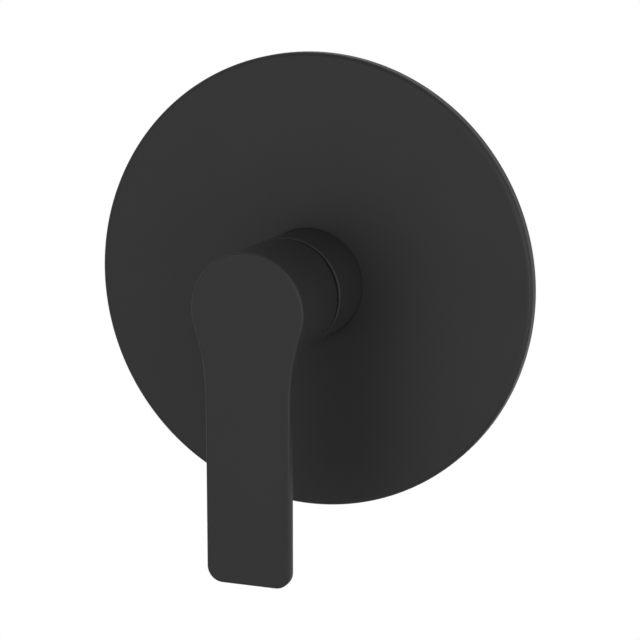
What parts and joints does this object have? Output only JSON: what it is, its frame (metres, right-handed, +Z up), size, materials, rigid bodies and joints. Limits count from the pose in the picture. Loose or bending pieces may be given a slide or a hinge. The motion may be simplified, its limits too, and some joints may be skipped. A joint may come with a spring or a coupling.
{
  "type": "concealed shower mixer",
  "caption": "Concealed single-lever shower mixer: round matt black cover plate and sleeve, a round-headed flat lever, and a brass in-wall valve with a ceramic cartridge.",
  "frame": {"origin": "centre of the cover plate's back face, on the handle's axis and in the plane of the finished wall", "axes": "+Y into the wall along the handle's axis, +Z up, +X to the right for someone who faces the wall"},
  "size_m": [0.17, 0.126, 0.1836],
  "materials": {
    "black_trim": "matt black powder coat",
    "black_cap": "matt moulded",
    "foam": "closed-cell foam",
    "rubber": "smooth nitrile rubber",
    "cast_brass": "shot-blasted casting",
    "turned_brass": "turned",
    "fibre": "vulcanised fibre",
    "white_moulding": "moulded acetal",
    "grey_moulding": "moulded",
    "red_moulding": "moulded",
    "white_ceramic": "lapped alumina",
    "dark_ceramic": "lapped",
    "steel": "turned stainless"
  },
  "bodies": {
    "fixed": {"cover_plate": "black_trim", "plate_gasket": "foam", "plate_o_ring": "rubber", "sleeve": "black_trim", "sleeve_o_ring": "rubber", "valve_body": "cast_brass", "outlet_plug": "turned_brass", "plug_washer": "fibre", "cartridge_nut": "turned_brass", "cartridge_housing": "white_moulding", "cartridge_base": "grey_moulding", "base_seals": "rubber", "disc_seals": "rubber", "fixed_disc": "white_ceramic"},
    "turret": {"stem_collar": "white_moulding", "temperature_stop_ring": "red_moulding", "pivot_pin": "steel"},
    "lever": {"stem": "steel", "handle_adapter": "white_moulding", "handle": "black_trim", "handle_screw": "steel", "screw_cover": "black_cap"},
    "disc_slide": {"moving_disc": "dark_ceramic", "disc_carrier": "grey_moulding"}
  },
  "joints": [
    {"name": "temperature_turn", "type": "hinge", "parent": "fixed", "child": "turret", "pos_m": [0, -0.006, 0], "axis": [0, 1, 0], "range_deg": [-45, 45]},
    {"name": "lever_lift", "type": "hinge", "parent": "turret", "child": "lever", "pos_m": [0, -0.006, 0], "axis": [-1, 0, 0], "range_deg": [0, 22]},
    {"name": "disc_travel", "type": "slide", "parent": "turret", "child": "disc_slide", "axis": [0, 0, -1], "range_m": [0, 0.00534]}
  ],
  "couplings": [
    {"joint": "disc_travel", "follows": "lever_lift", "m_per_rad": 0.013659}
  ]
}
